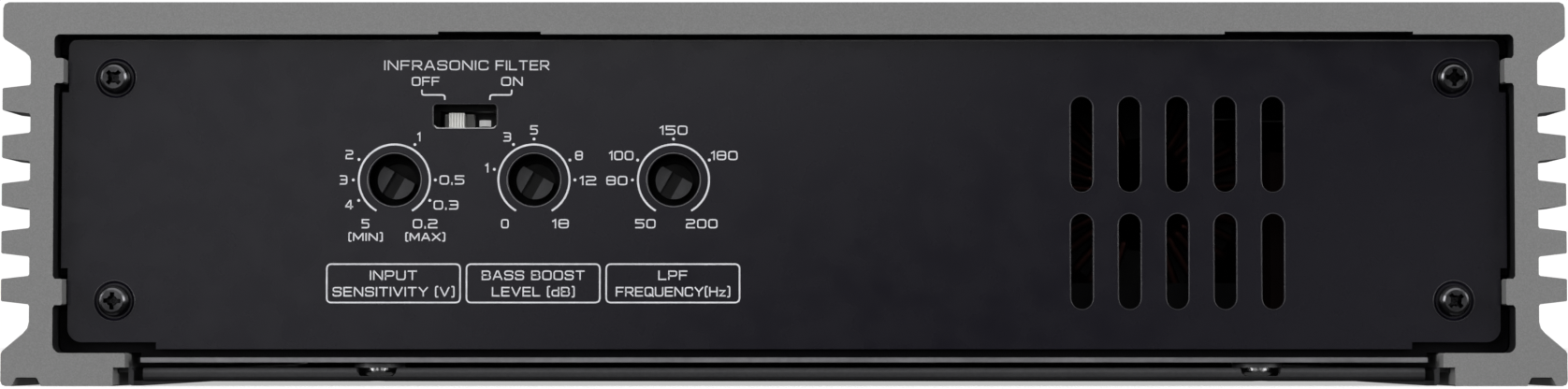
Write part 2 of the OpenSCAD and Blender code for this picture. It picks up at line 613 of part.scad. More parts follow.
// ---- fuses ---------------------------------------------------------------------------
fu_z = 24;
fu_x = [26, 36, 46];
fu_y = ty - 14;                   // inner end of a fuse's body
module fuse_holder() {
  color([0.06, 0.06, 0.06]) difference() {
    block(20, 52, ty - 32, ty - 10, bz, 37);
    for (x = fu_x) {
      block(x - 3.1, x + 3.1, fu_y - 0.4, ty, fu_z - 10.1, fu_z + 10.1);
      for (s = [-6.2, 6.2]) block(x - 1.3, x + 1.3, fu_y - 9.4, fu_y, fu_z + s - 3.1, fu_z + s + 3.1);
    }
  }
}
module fuse_clips() {
  color([0.75, 0.72, 0.6]) for (x = fu_x, s = [-6.2, 6.2]) difference() {
    block(x - 1.29, x + 1.29, fu_y - 9.39, fu_y - 1, fu_z + s - 3, fu_z + s + 3);
    block(x - 0.75, x + 0.75, fu_y - 8.8, fu_y, fu_z + s - 4, fu_z + s + 4);
  }
}
module fuse_body(i) {
  x = fu_x[i];
  color([0.25, 0.55, 0.25]) difference() {
    block(x - 2.6, x + 2.6, fu_y, fu_y + 12, fu_z - 9.5, fu_z + 9.5);
    block(x - 1.2, x + 1.2, fu_y + 11, fu_y + 13, fu_z - 6, fu_z + 6);
    for (s = [-1, 1]) translate([x, fu_y + 12, fu_z + s * 10.4]) rotate([0, 90, 0])
      cylinder(r = 2.4, h = 8, center = true);
  }
}
module fuse_blades(i) {
  x = fu_x[i];
  color([0.7, 0.7, 0.7]) for (s = [-6.2, 6.2])
    block(x - 0.4, x + 0.4, fu_y - 7.6, fu_y - e, fu_z + s - 2.6, fu_z + s + 2.6);
}
module fuse_1_body() { fuse_body(0); }
module fuse_1_blades() { fuse_blades(0); }
module fuse_2_body() { fuse_body(1); }
module fuse_2_blades() { fuse_blades(1); }
module fuse_3_body() { fuse_body(2); }
module fuse_3_blades() { fuse_blades(2); }

// ---- line-level sockets, remote socket, lamp ------------------------------------------
rca_x = [-60, -46];
rca_z = [20, 34];
module rca_housing() {
  color([0.06, 0.06, 0.06]) difference() {
    block(-69, -37, pr - 18, pr - panel_t - brk_t - 0.2, bz, 42);
    for (x = rca_x, z = rca_z) cyl_y(x, z, 4.2, pr - 12, pr);
  }
}
module rca_sleeves() {
  color([0.78, 0.74, 0.55]) for (x = rca_x, z = rca_z) difference() {
    cyl_y(x, z, 4.15, pr - 11.9, pr + 9.5);
    cyl_y(x, z, 3.45, pr - 13, pr + 10);
  }
}
module rca_inserts() {
  color([0.85, 0.85, 0.85]) for (x = rca_x, z = rca_z) difference() {
    cyl_y(x, z, 3.4, pr - 11.9, pr + 8.8);
    cyl_y(x, z, 1.65, pr - 3, pr + 10);
  }
}
module remote_socket() {
  color([0.06, 0.06, 0.06]) difference() {
    block(-94, -80, pr - 16, pr + 1, bz, 23);
    block(-91.9, -82.1, pr - 11, pr + 2, 12.6, 19.2);
  }
}
module status_lamp() {
  color([0.75, 0.2, 0.15]) {
    translate([lamp_x, pr - 7, 34]) rotate([-90, 0, 0]) rotate_extrude()
      polygon(concat([[0, 0], [2.9, 0], [2.9, 1], [2.45, 1]], arc(0, 6.2, 2.45, 0, 90, 8)));
    for (s = [-1.27, 1.27]) {
      block(lamp_x + s - 0.25, lamp_x + s + 0.25, pr - 12, pr - 7 + e, 33.75, 34.25);
      block(lamp_x + s - 0.25, lamp_x + s + 0.25, pr - 12, pr - 11.5, bz, 34.25);
    }
  }
}

heatsink();
front_panel();
front_bracket();
front_panel_screws();
rear_panel();
rear_bracket();
rear_panel_screws();
bottom_cover();
cover_screws();
bracket_screws();
main_board();
board_spacers();
board_screws();
control_board();
control_header();
gain_pot();
gain_shaft();
boost_pot();
boost_shaft();
lowpass_pot();
lowpass_shaft();
filter_switch_body();
filter_switch_clip();
filter_switch_knob();
supply_transistors();
output_transistors();
thermal_pads();
clamp_bars();
clamp_screws();
transformer_core();
transformer_winding();
output_choke_core();
output_choke_winding();
choke_base();
input_choke_core();
input_choke_winding();
input_capacitors();
rail_capacitors();
film_capacitors();
power_terminal_housing();
power_terminal_clamps();
power_terminal_screws();
speaker_terminal_housing();
speaker_terminal_clamps();
speaker_terminal_screws();
fuse_holder();
fuse_clips();
fuse_1_body();
fuse_1_blades();
fuse_2_body();
fuse_2_blades();
fuse_3_body();
fuse_3_blades();
rca_housing();
rca_sleeves();
rca_inserts();
remote_socket();
status_lamp();
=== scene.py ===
import json
import math
import bpy
import bmesh
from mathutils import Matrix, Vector


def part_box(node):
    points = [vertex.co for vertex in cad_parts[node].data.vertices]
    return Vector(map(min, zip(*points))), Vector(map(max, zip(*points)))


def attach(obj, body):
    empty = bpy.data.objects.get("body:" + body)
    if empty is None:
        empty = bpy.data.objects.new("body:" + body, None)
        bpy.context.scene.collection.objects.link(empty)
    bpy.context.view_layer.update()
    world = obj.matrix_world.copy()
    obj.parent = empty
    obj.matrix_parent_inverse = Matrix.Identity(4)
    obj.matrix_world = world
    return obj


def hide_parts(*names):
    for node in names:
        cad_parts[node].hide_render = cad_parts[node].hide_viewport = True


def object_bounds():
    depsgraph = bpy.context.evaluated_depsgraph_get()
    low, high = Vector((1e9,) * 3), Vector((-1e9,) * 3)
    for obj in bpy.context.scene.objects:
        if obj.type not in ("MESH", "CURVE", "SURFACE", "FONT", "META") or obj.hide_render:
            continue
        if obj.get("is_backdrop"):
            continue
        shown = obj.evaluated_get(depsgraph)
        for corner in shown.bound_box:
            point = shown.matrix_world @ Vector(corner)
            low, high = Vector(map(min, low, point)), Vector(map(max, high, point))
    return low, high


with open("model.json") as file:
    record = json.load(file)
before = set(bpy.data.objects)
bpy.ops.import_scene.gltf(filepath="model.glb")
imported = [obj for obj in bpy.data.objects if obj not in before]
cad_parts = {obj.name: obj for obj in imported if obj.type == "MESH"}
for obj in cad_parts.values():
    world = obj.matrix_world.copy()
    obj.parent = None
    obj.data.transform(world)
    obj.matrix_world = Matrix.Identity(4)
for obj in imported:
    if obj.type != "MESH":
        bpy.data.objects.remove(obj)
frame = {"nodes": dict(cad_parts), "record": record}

CAD_LO, CAD_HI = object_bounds()
MM = 0.001
NODES = frame["nodes"]
SCENE = bpy.context.scene


# ---- where things are, from the CAD frame ---------------------------------------------
def box_mm(node):
    """The two corners of a CAD node's box, in mm."""
    lo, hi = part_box(node)
    return lo / MM, hi / MM


HOUSE_LO, HOUSE_HI = box_mm("heatsink")
PANEL_LO, PANEL_HI = box_mm("front_panel")
FACE_Y = PANEL_LO.y                     # outer face of the front panel
END_Y = HOUSE_LO.y                      # control end of the housing
DIALS = []
for shaft in ("gain_shaft", "boost_shaft", "lowpass_shaft"):
    lo, hi = box_mm(shaft)
    DIALS.append(((lo.x + hi.x) / 2, (lo.z + hi.z) / 2))
SW_LO, SW_HI = box_mm("filter_switch_body")
SW_X = (SW_LO.x + SW_HI.x) / 2
SW_Z = (SW_LO.z + SW_HI.z) / 2 + 0.5    # middle of the switch's window, a little above its body's


# ---- materials ------------------------------------------------------------------------
class Mat:
    """A Principled material with helpers for noise-driven colour, roughness and bump."""

    def __init__(self, name, base, rough=0.5, metal=0.0, spec=0.5, coat=0.0, emission=None):
        self.m = bpy.data.materials.new(name)
        self.m.use_nodes = True
        self.n, self.l = self.m.node_tree.nodes, self.m.node_tree.links
        self.p = self.n["Principled BSDF"]
        self.base = base
        self.rough = rough
        self.p.inputs["Base Color"].default_value = (*base, 1)
        self.p.inputs["Roughness"].default_value = rough
        self.p.inputs["Metallic"].default_value = metal
        self.p.inputs["Specular IOR Level"].default_value = spec
        self.p.inputs["Coat Weight"].default_value = coat
        self.p.inputs["Coat Roughness"].default_value = 0.1
        if emission:
            self.p.inputs["Emission Color"].default_value = (*emission[:3], 1)
            self.p.inputs["Emission Strength"].default_value = emission[3]
        self.coord = self.n.new("ShaderNodeTexCoord").outputs["Object"]
        self.xyz = None

    def noise(self, size_mm, detail=3.0, rough=0.55, stretch=(1, 1, 1)):
        """Noise with grains of that size."""
        mp = self.n.new("ShaderNodeMapping")
        mp.inputs["Scale"].default_value = [s / (size_mm * MM) for s in stretch]
        self.l.new(self.coord, mp.inputs["Vector"])
        t = self.n.new("ShaderNodeTexNoise")
        t.inputs["Scale"].default_value = 1.0
        t.inputs["Detail"].default_value = detail
        t.inputs["Roughness"].default_value = rough
        self.l.new(mp.outputs["Vector"], t.inputs["Vector"])
        return t.outputs["Fac"]

    def axis(self, name):
        """One coordinate of the object's own, in metres."""
        if self.xyz is None:
            self.xyz = self.n.new("ShaderNodeSeparateXYZ")
            self.l.new(self.coord, self.xyz.inputs[0])
        return self.xyz.outputs[name]

    def math(self, op, a, b=0.0):
        x = self.n.new("ShaderNodeMath")
        x.operation = op
        for sock, v in zip(x.inputs, (a, b)):
            if isinstance(v, bpy.types.NodeSocket):
                self.l.new(v, sock)
            else:
                sock.default_value = v
        return x.outputs[0]

    def ramp(self, fac, stops):
        """Colours at those positions along a value."""
        r = self.n.new("ShaderNodeValToRGB")
        els = r.color_ramp.elements
        while len(els) < len(stops):
            els.new(0.5)
        for el, (pos, col) in zip(els, stops):
            el.position = pos
            el.color = (*col, 1)
        self.l.new(fac, r.inputs["Fac"])
        return r.outputs["Color"]

    def mix(self, fac, a, b, mode="MIX"):
        x = self.n.new("ShaderNodeMix")
        x.data_type = "RGBA"
        x.blend_type = mode
        for sock, v in ((x.inputs["Factor"], fac), (x.inputs["A"], a), (x.inputs["B"], b)):
            if isinstance(v, bpy.types.NodeSocket):
                self.l.new(v, sock)
            else:
                sock.default_value = v if isinstance(v, float) else (*v, 1)
        return x.outputs["Result"]

    def colour(self, sock):
        self.l.new(sock, self.p.inputs["Base Color"])

    def vary_colour(self, size_mm, amount):
        """Base colour made lighter and darker by that share, in grains of that size."""
        f = self.noise(size_mm, 4.0, 0.6)
        lo = [c * (1 - amount) for c in self.base]
        hi = [min(1.0, c * (1 + amount)) for c in self.base]
        out = self.ramp(f, [(0.3, lo), (0.7, hi)])
        self.colour(out)
        return out

    def vary_rough(self, size_mm, amount, stretch=(1, 1, 1)):
        """Roughness made greater and smaller by that amount, in grains of that size."""
        f = self.noise(size_mm, 3.0, 0.5, stretch)
        mr = self.n.new("ShaderNodeMapRange")
        mr.inputs["From Min"].default_value = 0.3
        mr.inputs["From Max"].default_value = 0.7
        mr.inputs["To Min"].default_value = max(0.02, self.rough - amount)
        mr.inputs["To Max"].default_value = min(1.0, self.rough + amount)
        self.l.new(f, mr.inputs["Value"])
        self.l.new(mr.outputs["Result"], self.p.inputs["Roughness"])

    def bump(self, size_mm, height_mm, detail=3.0, stretch=(1, 1, 1)):
        """Grains of that size and height in the surface."""
        b = self.n.new("ShaderNodeBump")
        b.inputs["Strength"].default_value = 1.0
        b.inputs["Distance"].default_value = height_mm * MM
        self.l.new(self.noise(size_mm, detail, 0.6, stretch), b.inputs["Height"])
        self.l.new(b.outputs["Normal"], self.p.inputs["Normal"])


def grey(v):
    """A neutral colour."""
    return (v, v, v)


def housing_paint():
    """Blasted grey outside; inside the channel the walls are dark, but for the bare tips of the ribs."""
    m = Mat("housing_grey", (0.215, 0.215, 0.215), rough=0.52, metal=0.25, spec=0.35)
    grain = m.noise(0.22, 2.0, 0.7)
    cloud = m.noise(28, 2.0, 0.5)
    c = m.ramp(grain, [(0.25, grey(0.228)), (0.5, grey(0.268)), (0.75, grey(0.315))])
    d = m.ramp(cloud, [(0.3, grey(0.97)), (0.7, grey(1.02))])
    outside = m.mix(1.0, c, d, "MULTIPLY")
    inside = m.ramp(grain, [(0.3, (0.010, 0.010, 0.011)), (0.7, (0.016, 0.016, 0.017))])
    wall = HOUSE_HI.x - 8.25                # inner face of the side walls
    tip = wall - 1.5                        # tips of the ribs on them
    channel_z0, channel_z1 = 5.35, 57.1     # heights between which the channel is painted dark
    # 1 inside the channel's outline, 0 outside it and on the tips
    ax = m.math("ABSOLUTE", m.axis("X"))
    on_tip = m.math("MULTIPLY", m.math("GREATER_THAN", ax, (tip - 0.05) * MM),
                    m.math("LESS_THAN", ax, (tip + 0.22) * MM))
    mask = m.math("LESS_THAN", ax, (wall + 0.03) * MM)
    for q in (m.math("GREATER_THAN", m.axis("Z"), channel_z0 * MM),
              m.math("LESS_THAN", m.axis("Z"), channel_z1 * MM),
              m.math("GREATER_THAN", m.axis("Y"), (HOUSE_LO.y + 0.18) * MM),
              m.math("LESS_THAN", m.axis("Y"), (HOUSE_HI.y - 0.18) * MM),
              m.math("SUBTRACT", 1.0, on_tip)):
        mask = m.math("MULTIPLY", mask, q)
    paint = m.mix(mask, outside, inside)
    # painted shade: faces that look down are darkened towards near black
    geo = m.n.new("ShaderNodeNewGeometry")
    nz = m.n.new("ShaderNodeSeparateXYZ")
    m.l.new(geo.outputs["True Normal"], nz.inputs[0])
    down = m.math("LESS_THAN", nz.outputs["Z"], -0.5)
    m.colour(m.mix(m.math("MULTIPLY", down, 0.72), paint, (0.018, 0.018, 0.018)))
    m.vary_rough(1.2, 0.07)
    m.bump(0.22, 0.008, 2.0)
    return m.m


def sheet_paint(name, base, rough, spec=0.5):
    """Fine powder coat on sheet."""
    m = Mat(name, base, rough=rough, spec=spec)
    m.vary_colour(0.5, 0.12)
    m.vary_rough(6, 0.04)
    m.bump(0.45, 0.004, 2.0)
    return m.m


def metal(name, base, rough, brush=(1, 1, 1)):
    """Bare or plated metal, brushed along the axes with small shares."""
    m = Mat(name, base, rough=rough, metal=1.0)
    m.vary_colour(1.5, 0.10)
    m.vary_rough(2.0, 0.08, brush)
    m.bump(0.4, 0.003, 3.0, brush)
    return m.m


def plastic(name, base, rough, grain=0.15, h=0.006, spec=0.5):
    """Moulded plastic with a fine grain of that size and height."""
    m = Mat(name, base, rough=rough, spec=spec)
    m.vary_colour(2.0, 0.10)
    m.vary_rough(3.0, 0.05)
    m.bump(grain, h, 2.0)
    return m.m


def board_mask():
    """Green solder mask, paler over the copper under it."""
    m = Mat("board_green", (0.012, 0.085, 0.035), rough=0.32, coat=0.3)
    bare, over = (0.010, 0.070, 0.030), (0.022, 0.135, 0.055)
    copper = m.noise(3.0, 1.0, 0.4, (1, 0.35, 1))
    m.colour(m.ramp(copper, [(0.46, bare), (0.48, over), (0.56, over), (0.58, bare)]))
    m.bump(3.0, 0.02, 1.0, (1, 0.35, 1))
    return m.m


def cover_paint():
    """Satin black; a painted highlight brightens the end walls towards the fold along their top, and painted
    shade darkens the side flanges, which have a paler outer edge."""
    # |x| where the side flanges start, and where their paler outer edge starts and ends
    side_x, edge_x0, edge_x1 = 103.4, 104.85, 105.75
    m = Mat("cover_black", (0.020, 0.020, 0.022), rough=0.42)
    g = m.noise(0.5, 3.0, 0.6)
    base = m.ramp(g, [(0.3, (0.0165, 0.0165, 0.018)), (0.7, (0.0225, 0.0225, 0.0245))])
    sheen_and_edge_grey = m.ramp(g, [(0.3, (0.052, 0.052, 0.056)), (0.7, (0.072, 0.072, 0.077))])
    # painted highlight: the end walls grow paler from 1 mm up to the fold at 2.75 mm
    up = m.n.new("ShaderNodeMapRange")
    up.inputs["From Min"].default_value = 1.0 * MM
    up.inputs["From Max"].default_value = 2.75 * MM
    m.l.new(m.axis("Z"), up.inputs["Value"])
    wall = m.mix(m.math("POWER", up.outputs["Result"], 2.2), base, sheen_and_edge_grey)
    ax = m.math("ABSOLUTE", m.axis("X"))
    side = m.math("GREATER_THAN", ax, side_x * MM)
    edge = m.math("MULTIPLY", m.math("GREATER_THAN", ax, edge_x0 * MM),
                  m.math("LESS_THAN", ax, edge_x1 * MM))
    # painted shade: the side flanges darker than the cover's black, but for their paler outer edge
    flange_shade = m.ramp(g, [(0.3, (0.006, 0.006, 0.0066)), (0.7, (0.009, 0.009, 0.0098))])
    flank = m.mix(edge, flange_shade, sheen_and_edge_grey)
    m.colour(m.mix(side, wall, flank))
    m.vary_rough(6, 0.04)
    m.bump(0.45, 0.004, 2.0)
    return m.m


def screw_paint():
    """Black-plated steel, with painted shade darkening it where it is closed in, such as inside the recess.
    """
    m = Mat("screw_black", (0.10, 0.10, 0.106), rough=0.22, metal=1.0)
    c = m.vary_colour(1.5, 0.10)
    # painted shade: ambient occlusion darkens the colour in recesses and at contacts
    recess_shade_ao = m.n.new("ShaderNodeAmbientOcclusion")
    recess_shade_ao.inputs["Distance"].default_value = 1.3 * MM
    recess_shade_ao.samples = 8
    m.colour(m.mix(m.math("POWER", recess_shade_ao.outputs["AO"], 2.3), (0.002, 0.002, 0.002), c))
    m.vary_rough(2.0, 0.06)
    m.bump(0.4, 0.003, 3.0)
    return m.m


def clip_metal():
    """Tinned strip: its bent top has a painted highlight, a glow over its pale tin; the leg below it is
    painted dark as painted shadow.
    """
    m = Mat("tinned_strip", grey(0.93), rough=0.3)
    bend_z = 42.2
    # painted highlight above the bend, glowing; painted shadow, near black, on the leg below
    top = m.math("GREATER_THAN", m.axis("Z"), bend_z * MM)
    m.colour(m.mix(top, grey(0.03), grey(0.93)))
    m.p.inputs["Emission Color"].default_value = (1, 1, 1, 1)
    m.l.new(m.math("MULTIPLY", top, 0.38), m.p.inputs["Emission Strength"])
    m.bump(0.4, 0.002, 2.0)
    return m.m


def shaft_paint():
    """Black moulding, paler on the tip's face; painted shade darkens it, and dulls its gloss, down the flat
    and the slot.
    """
    m = Mat("shaft_black", (0.024, 0.024, 0.026), rough=0.42)
    tip = min(v.co.y for v in NODES["gain_shaft"].data.vertices)
    g = m.noise(0.8, 3.0, 0.6)
    face = m.ramp(g, [(0.3, (0.044, 0.044, 0.048)), (0.7, (0.056, 0.056, 0.061))])
    painted_slot_shade = m.ramp(g, [(0.3, (0.0018, 0.0018, 0.0020)), (0.7, (0.0026, 0.0026, 0.0029))])
    # painted shade: colour and specular fall with depth behind the tip
    down = m.n.new("ShaderNodeMapRange")
    down.inputs["From Min"].default_value = tip + 0.2 * MM
    down.inputs["From Max"].default_value = tip + 3.2 * MM
    m.l.new(m.axis("Y"), down.inputs["Value"])
    slot_shade_fac = m.math("POWER", down.outputs["Result"], 0.6)
    m.colour(m.mix(slot_shade_fac, face, painted_slot_shade))
    m.l.new(m.math("SUBTRACT", 0.5, m.math("MULTIPLY", slot_shade_fac, 0.28)), m.p.inputs["Specular IOR Level"])
    m.vary_rough(3.0, 0.05)
    m.bump(0.15, 0.006, 2.0)
    return m.m


# By material slot of the record
MATS = {
    "housing": housing_paint(),
    "panel": sheet_paint("panel_black", (0.0056, 0.0048, 0.0100), 0.27),
    # painted shade: a darker, less glossy copy of the panel's black, for the shade behind the panel
    "bracket": sheet_paint("bracket_black_shade", (0.0022, 0.0021, 0.0028), 0.5, spec=0.06),
    "cover": cover_paint(),
    "screw_black": screw_paint(),
    "screw_zinc": metal("screw_zinc", (0.62, 0.62, 0.63), 0.25),
    "board": board_mask(),
    "spacer": plastic("nylon_white", (0.62, 0.61, 0.57), 0.45),
    "housing_black": plastic("moulded_black", (0.014, 0.014, 0.015), 0.48),
    "shaft": shaft_paint(),
    "knob": plastic("knob_white", (0.93, 0.93, 0.89), 0.42, h=0.002),
    "clip": clip_metal(),
    "transistor": plastic("transistor_epoxy", (0.020, 0.020, 0.021), 0.55),
    "pad": plastic("pad_silicone", (0.36, 0.42, 0.50), 0.75),
    "bar": metal("clamp_steel", (0.45, 0.45, 0.46), 0.35, brush=(1, 0.08, 1)),
    # painted shade: ferrite, wire and film resin are darkened far below their own colours, for the shade
    # inside the housing
    "ferrite": plastic("ferrite_grey", (0.0050, 0.0050, 0.0056), 0.6, grain=0.3, h=0.02, spec=0.2),
    "winding": metal("enamelled_wire", (0.046, 0.018, 0.016), 0.45),
    "capacitor": plastic("capacitor_sleeve", (0.012, 0.014, 0.035), 0.22),
    "film": plastic("film_resin", (0.010, 0.0028, 0.0026), 0.5, spec=0.15),
    "brass": metal("terminal_brass", (0.66, 0.50, 0.24), 0.30),
    "fuse": plastic("fuse_tint", (0.05, 0.34, 0.09), 0.15),
    "blade": metal("fuse_blade", (0.60, 0.60, 0.61), 0.3),
    "sleeve": metal("socket_plating", (0.72, 0.62, 0.38), 0.22),
    "insert": plastic("insert_white", (0.72, 0.72, 0.70), 0.35),
    "lamp": plastic("lamp_lens", (0.45, 0.03, 0.02), 0.12),
}
# painted shade: near black for the nodes in shade behind the panel's holes
SHADE_BLACK = plastic("painted_shade_black", (0.0042, 0.0040, 0.0052), 0.6, spec=0.15)
# painted highlight: the rolled edges lighter than the panel's black
LIP_HIGHLIGHT = sheet_paint("panel_edge_highlight", (0.022, 0.021, 0.026), 0.26)
PRINT = plastic("print_grey_white", (0.80, 0.80, 0.84), 0.6, grain=0.1, h=0.001)
EDGE = metal("sheared_edge", (0.36, 0.36, 0.38), 0.42, brush=(0.15, 1, 1))


# ---- CAD nodes: material and softened edges -------------------------------------------
# Bevel widths in mm; 0.12 for the rest
SOFT = {"heatsink": 0.16, "front_panel": 0.14, "rear_panel": 0.14, "front_bracket": 0.10,
        "rear_bracket": 0.10, "bottom_cover": 0.10, "front_panel_screws": 0.05, "rear_panel_screws": 0.05,
        "cover_screws": 0.05, "filter_switch_knob": 0.04, "gain_shaft": 0.08, "boost_shaft": 0.08,
        "lowpass_shaft": 0.08}


def finish_node(name, mat, width):
    """Gives a CAD node its material and softens its edges by that width."""
    o = NODES[name]
    o.data.materials.clear()
    o.data.materials.append(mat)
    b = o.modifiers.new("soft", "BEVEL")
    b.width = width * MM
    b.segments = 2
    b.limit_method = "ANGLE"
    b.angle_limit = math.radians(40)
    b.use_clamp_overlap = True
    b.harden_normals = False
    for p in o.data.polygons:
        p.use_smooth = True
    es = o.modifiers.new("split", "EDGE_SPLIT")
    es.split_angle = math.radians(32)


# Nodes in the shade behind the panel's holes, given near-black painted shade in place of their own material
SHADED_NODES = {"choke_base", "gain_pot", "boost_pot", "lowpass_pot"}
for sub in frame["record"]["subparts"]:
    n = sub["node"]
    finish_node(n, SHADE_BLACK if n in SHADED_NODES else MATS[sub["material_slot"]], SOFT.get(n, 0.12))


# ---- mesh helpers ----------------------------------------------------------------------
def new_piece(name, bm, mat, smooth=False, body="chassis"):
    """A piece from that mesh, with its material, that rides on that body."""
    me = bpy.data.meshes.new(name)
    bmesh.ops.recalc_face_normals(bm, faces=bm.faces)
    bm.to_mesh(me)
    bm.free()
    o = bpy.data.objects.new(name, me)
    SCENE.collection.objects.link(o)
    me.materials.append(mat)
    for p in me.polygons:
        p.use_smooth = smooth
    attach(o, body)
    return o


def tube(bm, rings, closed):
    """Quads between each ring of vertices and the next; the ends are joined, or capped."""
    ring_pairs = list(zip(rings, rings[1:]))
    if closed:
        ring_pairs.append((rings[-1], rings[0]))
    for a, b in ring_pairs:
        for k in range(len(a)):
            m = (k + 1) % len(a)
            bm.faces.new((a[k], a[m], b[m], b[k]))
    if not closed:
        bm.faces.new(rings[0])
        bm.faces.new(list(reversed(rings[-1])))


def ribbon(bm, pts, width, face_y, raise_mm, closed=False):
    """A flat stroke of that width on the plane y = face_y, as a closed prism standing proud towards -Y."""
    n = len(pts)
    left, right = [], []
    for i, p in enumerate(pts):
        a = pts[(i - 1) % n] if (closed or i) else p
        b = pts[(i + 1) % n] if (closed or i < n - 1) else p
        d1 = Vector((p[0] - a[0], p[1] - a[1]))
        d2 = Vector((b[0] - p[0], b[1] - p[1]))
        d1 = d1.normalized() if d1.length > 1e-9 else d2.normalized()
        d2 = d2.normalized() if d2.length > 1e-9 else d1
        t = (d1 + d2).normalized() if (d1 + d2).length > 1e-6 else d1
        nrm = Vector((-t.y, t.x))
        k = width / 2 / max(0.5, nrm.dot(Vector((-d1.y, d1.x))))
        left.append((p[0] + nrm.x * k, p[1] + nrm.y * k))
        right.append((p[0] - nrm.x * k, p[1] - nrm.y * k))
    y0, y1 = (face_y + 0.01) * MM, (face_y - raise_mm) * MM
    rows = [[bm.verts.new((x * MM, y, z * MM)) for x, z in side] for side, y in
            ((left, y0), (right, y0), (left, y1), (right, y1))]
    lb, rb, lt, rt = rows
    spans = range(n if closed else n - 1)
    for i in spans:
        j = (i + 1) % n
        bm.faces.new((lt[i], lt[j], rt[j], rt[i]))
        bm.faces.new((lb[j], lb[i], rb[i], rb[j]))
        bm.faces.new((lb[i], lb[j], lt[j], lt[i]))
        bm.faces.new((rb[j], rb[i], rt[i], rt[j]))
    if not closed:
        bm.faces.new((lb[0], lt[0], rt[0], rb[0]))
        bm.faces.new((lb[-1], rb[-1], rt[-1], lt[-1]))


def rounded(pts, closed=False, steps=4):
    """Points with their corners rounded: a point may hold a radius as its third number."""
    out, n = [], len(pts)
    for i, p in enumerate(pts):
        r = p[2] if len(p) > 2 else 0
        if r <= 0 or (not closed and i in (0, n - 1)):
            out.append((p[0], p[1]))
            continue
        c = Vector(p[:2])
        a, b = Vector(pts[i - 1][:2]) - c, Vector(pts[(i + 1) % n][:2]) - c
        ra, rb = min(r, a.length * 0.5), min(r, b.length * 0.5)
        p0, p2 = c + a.normalized() * ra, c + b.normalized() * rb
        for k in range(steps + 1):
            t = k / steps
            q = p0 * (1 - t) ** 2 + c * 2 * t * (1 - t) + p2 * t ** 2
            out.append((q.x, q.y))
    return out


# ---- printed legend: a squarish stroke alphabet ----------------------------------------
R = 0.24                                # radius of the letters' round corners
